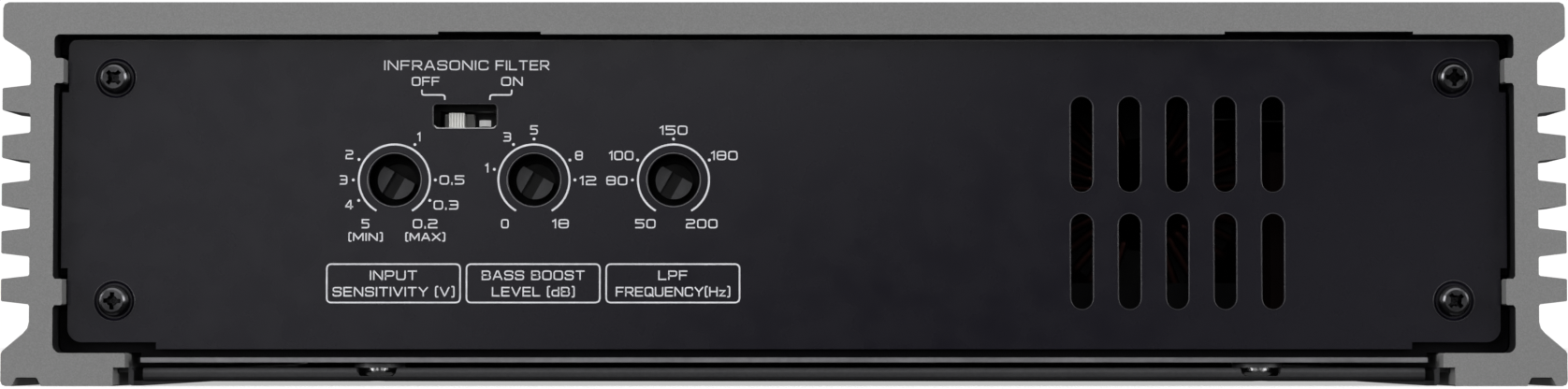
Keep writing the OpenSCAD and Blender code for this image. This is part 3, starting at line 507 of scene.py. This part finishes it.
# Letter: width, and its strokes, open lines "l" or closed outlines "o", for a height of 1
GLYPHS = {
    "0": (0.80, [("o", [(0, 0, R), (0.8, 0, R), (0.8, 1, R), (0, 1, R)])]),
    "1": (0.24, [("l", [(0, 0.80), (0.24, 1), (0.24, 0)])]),
    "2": (0.80, [("l", [(0, 1), (0.8, 1, R), (0.8, 0.52, R), (0, 0.52, R), (0, 0), (0.8, 0)])]),
    "3": (0.80, [("l", [(0, 1), (0.8, 1, R), (0.8, 0, R), (0, 0)]), ("l", [(0.12, 0.52), (0.8, 0.52)])]),
    "4": (0.84, [("l", [(0.62, 0), (0.62, 1), (0.5, 1), (0, 0.32), (0, 0.24), (0.84, 0.24)])]),
    "5": (0.80, [("l", [(0.8, 1), (0, 1), (0, 0.58), (0.8, 0.58, R), (0.8, 0, R), (0, 0)])]),
    "8": (0.80, [("o", [(0, 0, R), (0.8, 0, R), (0.8, 1, R), (0, 1, R)]), ("l", [(0, 0.52), (0.8, 0.52)])]),
    ".": (0.05, [("l", [(0.02, -0.06), (0.02, 0.12)])]),
    "A": (0.86, [("l", [(0, 0), (0.36, 1), (0.5, 1), (0.86, 0)]), ("l", [(0.14, 0.30), (0.72, 0.30)])]),
    "B": (0.82, [("l", [(0, 0.52), (0.82, 0.52, R), (0.82, 0, R), (0, 0), (0, 1), (0.78, 1, R),
                        (0.78, 0.54, R), (0.5, 0.52)])]),
    "C": (0.80, [("l", [(0.8, 0.76), (0.8, 1, R), (0, 1, R), (0, 0, R), (0.8, 0, R), (0.8, 0.24)])]),
    "d": (0.70, [("l", [(0.7, 1), (0.7, 0), (0, 0, R), (0, 0.66, R), (0.7, 0.66)])]),
    "E": (0.76, [("l", [(0.76, 1), (0, 1), (0, 0), (0.76, 0)]), ("l", [(0, 0.52), (0.7, 0.52)])]),
    "F": (0.74, [("l", [(0.74, 1), (0, 1), (0, 0)]), ("l", [(0, 0.50), (0.66, 0.50)])]),
    "H": (0.82, [("l", [(0, 0), (0, 1)]), ("l", [(0.82, 0), (0.82, 1)]), ("l", [(0, 0.52), (0.82, 0.52)])]),
    "I": (0.0, [("l", [(0, 0), (0, 1)])]),
    "L": (0.70, [("l", [(0, 1), (0, 0), (0.7, 0)])]),
    "M": (0.98, [("l", [(0, 0), (0, 1), (0.06, 1), (0.49, 0.2), (0.92, 1), (0.98, 1), (0.98, 0)])]),
    "N": (0.84, [("l", [(0, 0), (0, 1), (0.05, 1), (0.79, 0), (0.84, 0), (0.84, 1)])]),
    "O": (0.84, [("o", [(0, 0, R), (0.84, 0, R), (0.84, 1, R), (0, 1, R)])]),
    "P": (0.80, [("l", [(0, 0), (0, 1), (0.8, 1, R), (0.8, 0.42, R), (0, 0.42)])]),
    "Q": (0.84, [("o", [(0, 0, R), (0.84, 0, R), (0.84, 1, R), (0, 1, R)]),
                 ("l", [(0.5, 0.24), (0.92, -0.06)])]),
    "R": (0.80, [("l", [(0, 0), (0, 1), (0.8, 1, R), (0.8, 0.44, R), (0, 0.44)]),
                 ("l", [(0.42, 0.44), (0.82, 0)])]),
    "S": (0.80, [("l", [(0.8, 0.80), (0.8, 1, R), (0, 1, R), (0, 0.52, R), (0.8, 0.52, R), (0.8, 0, R),
                        (0, 0, R), (0, 0.20)])]),
    "T": (0.80, [("l", [(0, 1), (0.8, 1)]), ("l", [(0.4, 1), (0.4, 0)])]),
    "U": (0.82, [("l", [(0, 1), (0, 0, R), (0.82, 0, R), (0.82, 1)])]),
    "V": (0.88, [("l", [(0, 1), (0.42, 0), (0.46, 0), (0.88, 1)])]),
    "X": (0.84, [("l", [(0, 0), (0.84, 1)]), ("l", [(0, 1), (0.84, 0)])]),
    "Y": (0.84, [("l", [(0, 1), (0.42, 0.46), (0.84, 1)]), ("l", [(0.42, 0.46), (0.42, 0)])]),
    "z": (0.58, [("l", [(0, 0.64), (0.58, 0.64), (0, 0), (0.58, 0)])]),
    "(": (0.16, [("l", [(0.2, 1.12), (0, 1.12, 0.15), (0, -0.12, 0.15), (0.2, -0.12)])]),
    ")": (0.16, [("l", [(0, 1.12), (0.2, 1.12, 0.15), (0.2, -0.12, 0.15), (0, -0.12)])]),
    " ": (0.22, []),
}
STROKE = 0.215                          # width of a letter's stroke
RAISE = 0.018                           # how far the print stands proud
RING_R, DOT_R = 5.74, 6.62              # the dials' rings, and the dots round them
LINE = 0.26                             # width of leader lines and frames


def legend(bm, text, x, z, width=None, height=1.46):
    """Text centred on (x, z) in mm, squeezed or stretched to that width over its strokes."""
    gap = 0.33
    total = sum(GLYPHS[c][0] for c in text) + gap * (len(text) - 1)
    ky = height - STROKE
    kx = ky if width is None else (width - STROKE) / total
    px = x - total * kx / 2
    for i, c in enumerate(text):
        w, strokes = GLYPHS[c]
        for k, (kind, pts) in enumerate(strokes):
            q = rounded(pts, kind == "o")
            q = [(px + a * kx, z - ky / 2 + b * ky) for a, b in q]
            if kind == "l":                     # square ends reach half a stroke further
                for s, t in ((0, 1), (-1, -2)):
                    d = Vector(q[s]) - Vector(q[t])
                    e = Vector(q[s]) + d.normalized() * STROKE * 0.45
                    q[s] = (e.x, e.y)
            # crossing strokes stand a hair apart
            ribbon(bm, q, STROKE, FACE_Y, RAISE + 0.0004 * k, kind == "o")
        px += (w + gap) * kx


def arc_pts(cx, cz, r, a0, a1, steps):
    """Points on a circle, angles clockwise from straight up."""
    return [(cx + r * math.sin(math.radians(a0 + (a1 - a0) * i / steps)),
             cz + r * math.cos(math.radians(a0 + (a1 - a0) * i / steps))) for i in range(steps + 1)]


def circle_pts(cx, cz, r, steps):
    """Points all the way round, the last one short of the first."""
    return arc_pts(cx, cz, r, 0, 360, steps)[:-1]


def dot(bm, cx, cz, r=0.24):
    """A small printed disc."""
    ring = circle_pts(cx, cz, r, 14)
    y0, y1 = (FACE_Y + 0.01) * MM, (FACE_Y - RAISE) * MM
    a = [bm.verts.new((x * MM, y0, z * MM)) for x, z in ring]
    b = [bm.verts.new((x * MM, y1, z * MM)) for x, z in ring]
    bm.faces.new(b)
    bm.faces.new(list(reversed(a)))
    for i in range(len(ring)):
        j = (i + 1) % len(ring)
        bm.faces.new((a[i], a[j], b[j], b[i]))


def front_print():
    """Scales, names and leader lines on the control panel."""
    bm = bmesh.new()
    # scales: (angle of the dot or None, label, its place from the dial's centre)
    scales = [
        [(30, "1", 3.93, 6.99), (-60, "2", -7.27, 4.1), (-90, "3", -8.2, 0), (-120, "4", -7.27, -4.0),
         (90, "0.5", 9.3, 0), (120, "0.3", 8.35, -4.05), (None, "5", -4.63, -7.07), (None, "0.2", 5.0, -7.07),
         (None, "(MIN)", -4.63, -9.2), (None, "(MAX)", 5.0, -9.2)],
        [(0, "5", 0, 8.1), (-30, "3", -4.33, 6.96), (-75, "1", -7.62, 1.95), (61, "8", 7.27, 3.95),
         (90, "12", 8.7, -0.1), (None, "0", -4.66, -7.07), (None, "18", 4.3, -7.07)],
        [(0, "150", 0, 8.05), (-61, "100", -8.45, 3.95), (-90, "80", -9.15, -0.1), (61, "180", 8.2, 3.95),
         (None, "50", -4.53, -7.07), (None, "200", 4.56, -7.07)],
    ]
    widths = {"0.5": 4.0, "0.3": 4.0, "0.2": 4.0, "(MIN)": 5.5, "(MAX)": 6.4, "12": 2.7, "18": 2.7,
              "150": 4.5, "100": 3.95, "180": 4.3, "200": 5.1, "50": 3.3, "80": 3.4}
    for (cx, cz), marks in zip(DIALS, scales):
        ribbon(bm, arc_pts(cx, cz, RING_R, -150, 150, 72), 0.32, FACE_Y, RAISE)
        for angle, text, dx, dz in marks:
            if angle is not None:
                a = math.radians(angle)
                dot(bm, cx + DOT_R * math.sin(a), cz + DOT_R * math.cos(a))
            legend(bm, text, cx + dx, cz + dz, widths.get(text), 1.3 if "(" in text else 1.5)
    # switch legend and its two leader lines
    legend(bm, "INFRASONIC", SW_X - 4.68, SW_Z + 8.3, 16.85, 1.6)
    legend(bm, "FILTER", SW_X + 9.22, SW_Z + 8.3, 8.65, 1.6)
    legend(bm, "OFF", SW_X - 6.4, SW_Z + 5.7, 4.5, 1.47)
    legend(bm, "ON", SW_X + 7.55, SW_Z + 5.7, 3.5, 1.47)
    for s, far, near in ((-1, 7.0, 3.3), (1, 7.5, 4.0)):
        ribbon(bm, rounded([(SW_X + s * far, SW_Z + 4.35), (SW_X + s * far, SW_Z + 3.5, 0.35),
                            (SW_X + s * near, SW_Z + 3.5, 0.45), (SW_X + s * near, SW_Z + 2.7)]),
               LINE, FACE_Y, RAISE)
    # labels in rounded frames under the dials
    names = [("INPUT", 7.6, "SENSITIVITY (V)", 19.6), ("BASS BOOST", 16.6, "LEVEL (dB)", 13.3),
             ("LPF", 4.7, "FREQUENCY(Hz)", 18.4)]
    z_mid = DIALS[0][1] - 16.7
    for (cx, cz), (a, wa, b, wb) in zip(DIALS, names):
        x = cx - 0.08
        w, h, r = 10.75, 3.1, 0.8
        ribbon(bm, rounded([(x - w, z_mid - h, r), (x + w, z_mid - h, r), (x + w, z_mid + h, r),
                            (x - w, z_mid + h, r)], True, 6), LINE, FACE_Y, RAISE, True)
        legend(bm, a, x, z_mid + 1.3, wa, 1.55)
        legend(bm, b, x, z_mid - 1.35, wb, 1.55)
    new_piece("front_print", bm, PRINT)


front_print()


# ---- rolled edges of the sheets ----------------------------------------------------------
# painted highlight: a pale copy of the panel's black for the window's lower edge
SILL_HIGHLIGHT = sheet_paint("switch_sill", (0.55, 0.55, 0.56), 0.3)
# painted highlight: a bright copy of the panel's black for the dials' edges and the panel's top edge
DIAL_RIM_HIGHLIGHT = sheet_paint("dial_rim_highlight", (0.13, 0.128, 0.135), 0.3)
# painted shade: darker than the cover's own black
SKIRT_SHADE = sheet_paint("dimple_skirt_shade", (0.006, 0.006, 0.0066), 0.45)
# painted highlight: lighter than the panel's black, for the dimples' rims
RIM_HIGHLIGHT = sheet_paint("dimple_rim_highlight", (0.045, 0.044, 0.050), 0.24)
COVER_HEAD_R = 2.6                      # cover screws' heads
PANEL_HEAD_R = 2.55                     # panel screws' heads
DIMPLE_RIM_R, DIAL_RIM_R = 3.3, 4.36    # rims round the panel screws and the dials' holes
WINDOW_HALF_W, WINDOW_HALF_H = 5.2, 2.05
VENT_W, VENT_H = 3.72, 15.6             # the beads' outline, a little wider than the slot
VENT_X, VENT_PITCH, VENT_COLUMNS = 48.06, 7.71, 5
VENT_ROWS = (20.04, 38.98)


def lip(bm, pts, rad, y, sides=10, closed=True):
    """A bead of radius rad along points (x, z) at that y, partly sunk in the sheet."""
    n, rings = len(pts), []
    for i, (x, z) in enumerate(pts):
        ahead, behind = (i + 1) % n, i - 1
        if not closed:
            ahead, behind = min(i + 1, n - 1), max(i - 1, 0)
        t = (Vector(pts[ahead]) - Vector(pts[behind])).normalized()
        nr = Vector((t.y, -t.x))
        ring = []
        for k in range(sides):
            a = 2 * math.pi * k / sides
            ring.append(bm.verts.new(((x + nr.x * rad * math.cos(a)) * MM, (y + rad * math.sin(a)) * MM,
                                      (z + nr.y * rad * math.cos(a)) * MM)))
        rings.append(ring)
    tube(bm, rings, closed)


def stadium(cx, cz, w, h, steps=12):
    """Points round an upright slot with round ends."""
    r, k = w / 2, h / 2 - w / 2
    turn = [math.pi * i / steps for i in range(steps + 1)]
    top = [(cx + r * math.cos(a), cz + k + r * math.sin(a)) for a in turn]
    low = [(cx - r * math.cos(a), cz - k - r * math.sin(a)) for a in turn]
    return top + low


def panel_lips():
    """The rolled edges of the switch's window and of the vent slots, with a painted highlight: lighter than
    the panel's black.
    """
    bm = bmesh.new()
    w, h, r = WINDOW_HALF_W, WINDOW_HALF_H, 0.8
    window = rounded([(SW_X - w, SW_Z - h, r), (SW_X + w, SW_Z - h, r),
                      (SW_X + w, SW_Z + h, r), (SW_X - w, SW_Z + h, r)], True, 8)
    lip(bm, window, rad=0.13, y=FACE_Y + 0.06)
    for i in range(VENT_COLUMNS):
        for z in VENT_ROWS:
            slot = stadium(VENT_X + VENT_PITCH * i, z, VENT_W, VENT_H)
            lip(bm, slot, rad=0.12, y=FACE_Y + 0.05)
    new_piece("panel_lips", bm, LIP_HIGHLIGHT, True)


def dimple_rims():
    """A thin rim round each screw dimple of the two panels, bright with a painted highlight."""
    for end, y in (("front", FACE_Y + 0.06), ("rear", box_mm("rear_panel")[1].y - 0.06)):
        bm = bmesh.new()
        lo, hi = box_mm(end + "_panel_screws")
        for cx in (lo.x + PANEL_HEAD_R, hi.x - PANEL_HEAD_R):
            for cz in (lo.z + PANEL_HEAD_R, hi.z - PANEL_HEAD_R):
                lip(bm, circle_pts(cx, cz, DIMPLE_RIM_R, 48), rad=0.09, y=y)
        new_piece("dimple_rims_" + end, bm, RIM_HIGHLIGHT, smooth=True)


def panel_top_edge():
    """The rolled edge along the top of the control panel and down its corners, bright with a painted
    highlight.
    """
    bm = bmesh.new()
    x, z = PANEL_HI.x - 1.12, PANEL_HI.z + 0.10
    pts = rounded([(-x, z - 5.5), (-x, z, 1.3), (x, z, 1.3), (x, z - 5.5)], False, 8)
    lip(bm, pts, rad=0.15, y=FACE_Y + 0.17, sides=8, closed=False)
    new_piece("panel_top_edge", bm, DIAL_RIM_HIGHLIGHT, smooth=True)


def dial_rims():
    """The edge where each dial's hole turns into the panel, bright with a painted highlight."""
    bm = bmesh.new()
    for cx, cz in DIALS:
        lip(bm, circle_pts(cx, cz, DIAL_RIM_R, 64), rad=0.10, y=FACE_Y + 0.12)
    new_piece("dial_rims", bm, DIAL_RIM_HIGHLIGHT, smooth=True)


def dimple_skirts():
    """The pressed wall between the cover's floor and the seat of each cover screw, in painted shade darker
    than the cover's black.
    """
    bm = bmesh.new()
    lo, hi = box_mm("cover_screws")
    section = ((3.52, 1.45), (4.05, 1.45), (4.05, 2.4), (3.52, 2.4))    # radius and height
    start, sweep, steps = -25, 230, 40                                  # open towards the cover's end
    for x in (lo.x + COVER_HEAD_R, hi.x - COVER_HEAD_R):
        for y, sign in ((lo.y + COVER_HEAD_R, 1), (hi.y - COVER_HEAD_R, -1)):
            rings = []
            for i in range(steps + 1):
                a = math.radians(start + sweep * i / steps)
                dx, dy = math.cos(a), sign * math.sin(a)
                rings.append([bm.verts.new(((x + r * dx) * MM, (y + r * dy) * MM, z * MM))
                              for r, z in section])
            tube(bm, rings, False)
    new_piece("dimple_skirts", bm, SKIRT_SHADE)


def switch_sill():
    """The lower edge of the switch's window, with a painted highlight: a pale rim on the black sheet."""
    bm = bmesh.new()
    y, half, drop = FACE_Y + 0.22, 5.0, 1.95
    ry, rz, sides = 0.2, 0.16, 8
    n, rings = 24, []
    for i in range(n + 1):
        t = -1 + 2 * i / n
        cx = SW_X + half * t
        cz = SW_Z - drop + 4.5 * max(0.0, abs(t) - 0.9)     # the ends turn up
        ring = []
        for k in range(sides):
            a = 2 * math.pi * k / sides
            ring.append(bm.verts.new((cx * MM, (y + ry * math.cos(a)) * MM, (cz + rz * math.sin(a)) * MM)))
        rings.append(ring)
    tube(bm, rings, False)
    new_piece("switch_sill", bm, SILL_HIGHLIGHT, smooth=True)


panel_lips()
switch_sill()
dimple_rims()
panel_top_edge()
dial_rims()
dimple_skirts()


# ---- wire windings, in place of the plain sleeves --------------------------------------
def coil(name, node, core, ri, axis, spans, wire, turns):
    """Enamelled wire in place of a plain winding node, on a ring core of inner radius ri, over those
    spans of degrees: each turn is a rounded loop about the ring's section."""
    lo, hi = box_mm(core)
    c = (lo + hi) / 2
    k = "XYZ".index(axis)
    h = (hi - lo)[k]
    ro = max((hi - lo)[(k + 1) % 3], (hi - lo)[(k + 2) % 3]) / 2
    bm = bmesh.new()
    sides, off, r = 8, wire / 2 + 0.05, 0.9
    path = rounded([(ri - off, -h / 2 - off, r), (ro + off, -h / 2 - off, r),
                    (ro + off, h / 2 + off, r), (ri - off, h / 2 + off, r)], True, 5)
    n = len(path)
    for a0, a1 in spans:
        for t in range(turns):
            ang = math.radians(a0 + (a1 - a0) * (t + 0.5) / turns)
            u = Vector((math.cos(ang), math.sin(ang)))
            rings = []
            for i, (rad, z) in enumerate(path):
                d = (Vector(path[(i + 1) % n]) - Vector(path[i - 1])).normalized()
                nr = Vector((d.y, -d.x))
                ring = []
                for s in range(sides):
                    b = 2 * math.pi * s / sides
                    o = math.cos(b) * wire / 2
                    w = math.sin(b) * wire / 2
                    rr, zz = rad + nr.x * o, z + nr.y * o
                    p = Vector((u.x * rr - u.y * w, u.y * rr + u.x * w, zz))
                    p = {"Z": p, "Y": Vector((p.x, -p.z, p.y))}[axis]
                    ring.append(bm.verts.new((p + c) * MM))
                rings.append(ring)
            tube(bm, rings, True)
    o = new_piece(name, bm, MATS["winding"], True)
    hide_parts(node)


coil("wire_transformer", "transformer_winding", "transformer_core", 13.0, "Z",
     [(6, 114), (126, 234), (246, 354)], wire=1.5, turns=17)
coil("wire_output_choke", "output_choke_winding", "output_choke_core", 9.5, "Y",
     [(285, 435), (465, 615)], wire=1.6, turns=14)
coil("wire_input_choke", "input_choke_winding", "input_choke_core", 8.0, "Z",
     [(20, 160), (200, 340)], wire=1.6, turns=12)


def rail_edge():
    """The bright sheared edge of the bracket's bottom rail."""
    bm = bmesh.new()
    lo = box_mm("front_bracket")[0]
    half, z0, z1 = 103.45, lo.z + 0.06, lo.z + 0.84
    ribbon(bm, [(-half, (z0 + z1) / 2), (half, (z0 + z1) / 2)], z1 - z0, lo.y, 0.03)
    new_piece("rail_edge_front", bm, EDGE)


rail_edge()


# ---- stage, lights, camera ---------------------------------------------------------------
def stage_piece(name, bm, mat):
    """A smooth piece of the set, which is no part of the object."""
    me = bpy.data.meshes.new(name)
    bm.to_mesh(me)
    bm.free()
    for p in me.polygons:
        p.use_smooth = True
    o = bpy.data.objects.new(name, me)
    SCENE.collection.objects.link(o)
    me.materials.append(mat)
    o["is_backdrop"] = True
    return o


def stage():
    """A pale floor, and a white dome far round it that only the camera sees."""
    bm = bmesh.new()
    bmesh.ops.create_circle(bm, cap_ends=True, segments=96, radius=9.0)
    pale = Mat("stage_pale", grey(0.62), rough=0.9, spec=0.1, emission=(1, 1, 1, 0.55))
    floor = stage_piece("stage_floor", bm, pale.m)
    floor.location.z = CAD_LO.z
    floor.visible_glossy = False
    floor.visible_diffuse = False
    bm = bmesh.new()
    bmesh.ops.create_uvsphere(bm, u_segments=48, v_segments=24, radius=8.9)
    white = Mat("stage_white", grey(0), rough=1.0, spec=0.0, emission=(1, 1, 1, 1.02))
    dome = stage_piece("stage_dome", bm, white.m)
    for flag in ("visible_diffuse", "visible_glossy", "visible_transmission", "visible_shadow"):
        setattr(dome, flag, False)


stage()
MID = Vector((0, END_Y * MM, (HOUSE_LO.z + HOUSE_HI.z) / 2 * MM))
CARD_Y = -1.3
# World and front: strengths. Areas: place and size in m, power in W. Cards: edges x0, x1, z0, z1
# in m, power per square metre.
POWERS = {
    "world": 0.62, "front": 0.015,
    "areas": [("key_top", (0.0, -1.0, 1.35), (2.2, 1.0), 6.5),
              ("left", (-1.5, -1.1, 0.45), (1.0, 0.8), 15),
              ("right", (1.5, -1.1, 0.45), (1.0, 0.8), 13.5),
              ("back_top", (0.0, 1.3, 1.6), (2.2, 1.2), 20)],
    "cards": [("card_mid_left", -0.45, -0.12, 0.0, 0.35, 2.5),
              ("card_top", -0.22, 0.12, 0.16, 0.42, 4.2),
              ("card_low_left", -0.5, -0.14, -0.03, 0.08, 4.6),
              ("card_low_right", 0.24, 0.62, -0.03, 0.08, 2.7)],
}


def area(name, loc, size, power, target=MID):
    """A rectangular light aimed at the target, unseen by the camera."""
    ld = bpy.data.lights.new(name, "AREA")
    ld.shape = "RECTANGLE"
    ld.size, ld.size_y = size
    ld.energy = power
    o = bpy.data.objects.new(name, ld)
    SCENE.collection.objects.link(o)
    o.location = loc
    o.rotation_euler = (target - Vector(loc)).to_track_quat("-Z", "Y").to_euler()
    o.visible_camera = False


def card(name, x0, x1, z0, z1, power):
    """A soft card in front of the object, seen in the panel's gloss."""
    loc = Vector(((x0 + x1) / 2, CARD_Y, (z0 + z1) / 2))
    area(name, loc, (x1 - x0, z1 - z0), power * (x1 - x0) * (z1 - z0), Vector((loc.x, 0, loc.z)))


def world_light():
    """An even world, dark where it lies behind the camera and dim below the horizon."""
    world = bpy.data.worlds.new("studio")
    SCENE.world = world
    world.use_nodes = True
    n, l = world.node_tree.nodes, world.node_tree.links

    def step(value, *limits):
        """A smooth step between the first two limits, of height from the third to the fourth."""
        x = n.new("ShaderNodeMapRange")
        x.interpolation_type = "SMOOTHSTEP"
        for label, v in zip(("From Min", "From Max", "To Min", "To Max"), limits):
            x.inputs[label].default_value = v
        l.new(value, x.inputs["Value"])
        return x.outputs["Result"]

    way = n.new("ShaderNodeTexCoord").outputs["Generated"]
    dot = n.new("ShaderNodeVectorMath")
    dot.operation = "DOT_PRODUCT"
    dot.inputs[1].default_value = Vector((0, -1, 0.06)).normalized()
    l.new(way, dot.inputs[0])
    xyz = n.new("ShaderNodeSeparateXYZ")
    l.new(way, xyz.inputs[0])
    mul = n.new("ShaderNodeMath")
    mul.operation = "MULTIPLY"
    l.new(step(dot.outputs["Value"], 0.75, 0.95, POWERS["world"], POWERS["front"]), mul.inputs[0])
    l.new(step(xyz.outputs["Z"], -0.25, 0.12, 0.08, 1.0), mul.inputs[1])
    l.new(mul.outputs[0], n["Background"].inputs["Strength"])
    n["Background"].inputs["Color"].default_value = (1, 1, 1, 1)


for light in POWERS["areas"]:
    area(*light)
for light in POWERS["cards"]:
    card(*light)
world_light()
SCENE.view_settings.view_transform = "Standard"

# The camera stands 0.5 m in front of the control end, near the floor, and looks at the end face
cam_data = bpy.data.cameras.new("camera")
cam = bpy.data.objects.new("camera", cam_data)
SCENE.collection.objects.link(cam)
DIST, EYE_Z, AIM_Z = 0.5, 0.0065, 0.02294
SENSOR = 36
FIELD = 1.0012                          # the picture's width as a share of the housing's
cam.location = (0, END_Y * MM - DIST, EYE_Z)
cam_data.sensor_width = SENSOR
cam_data.lens = SENSOR * DIST / ((HOUSE_HI.x - HOUSE_LO.x) * MM * FIELD)
cam_data.shift_y = 0.031
cam_data.clip_start = 0.01
cam_data.clip_end = 50
cam.rotation_euler = (Vector((0, END_Y * MM, AIM_Z)) - cam.location).to_track_quat("-Z", "Y").to_euler()
SCENE.camera = cam

lo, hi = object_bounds()
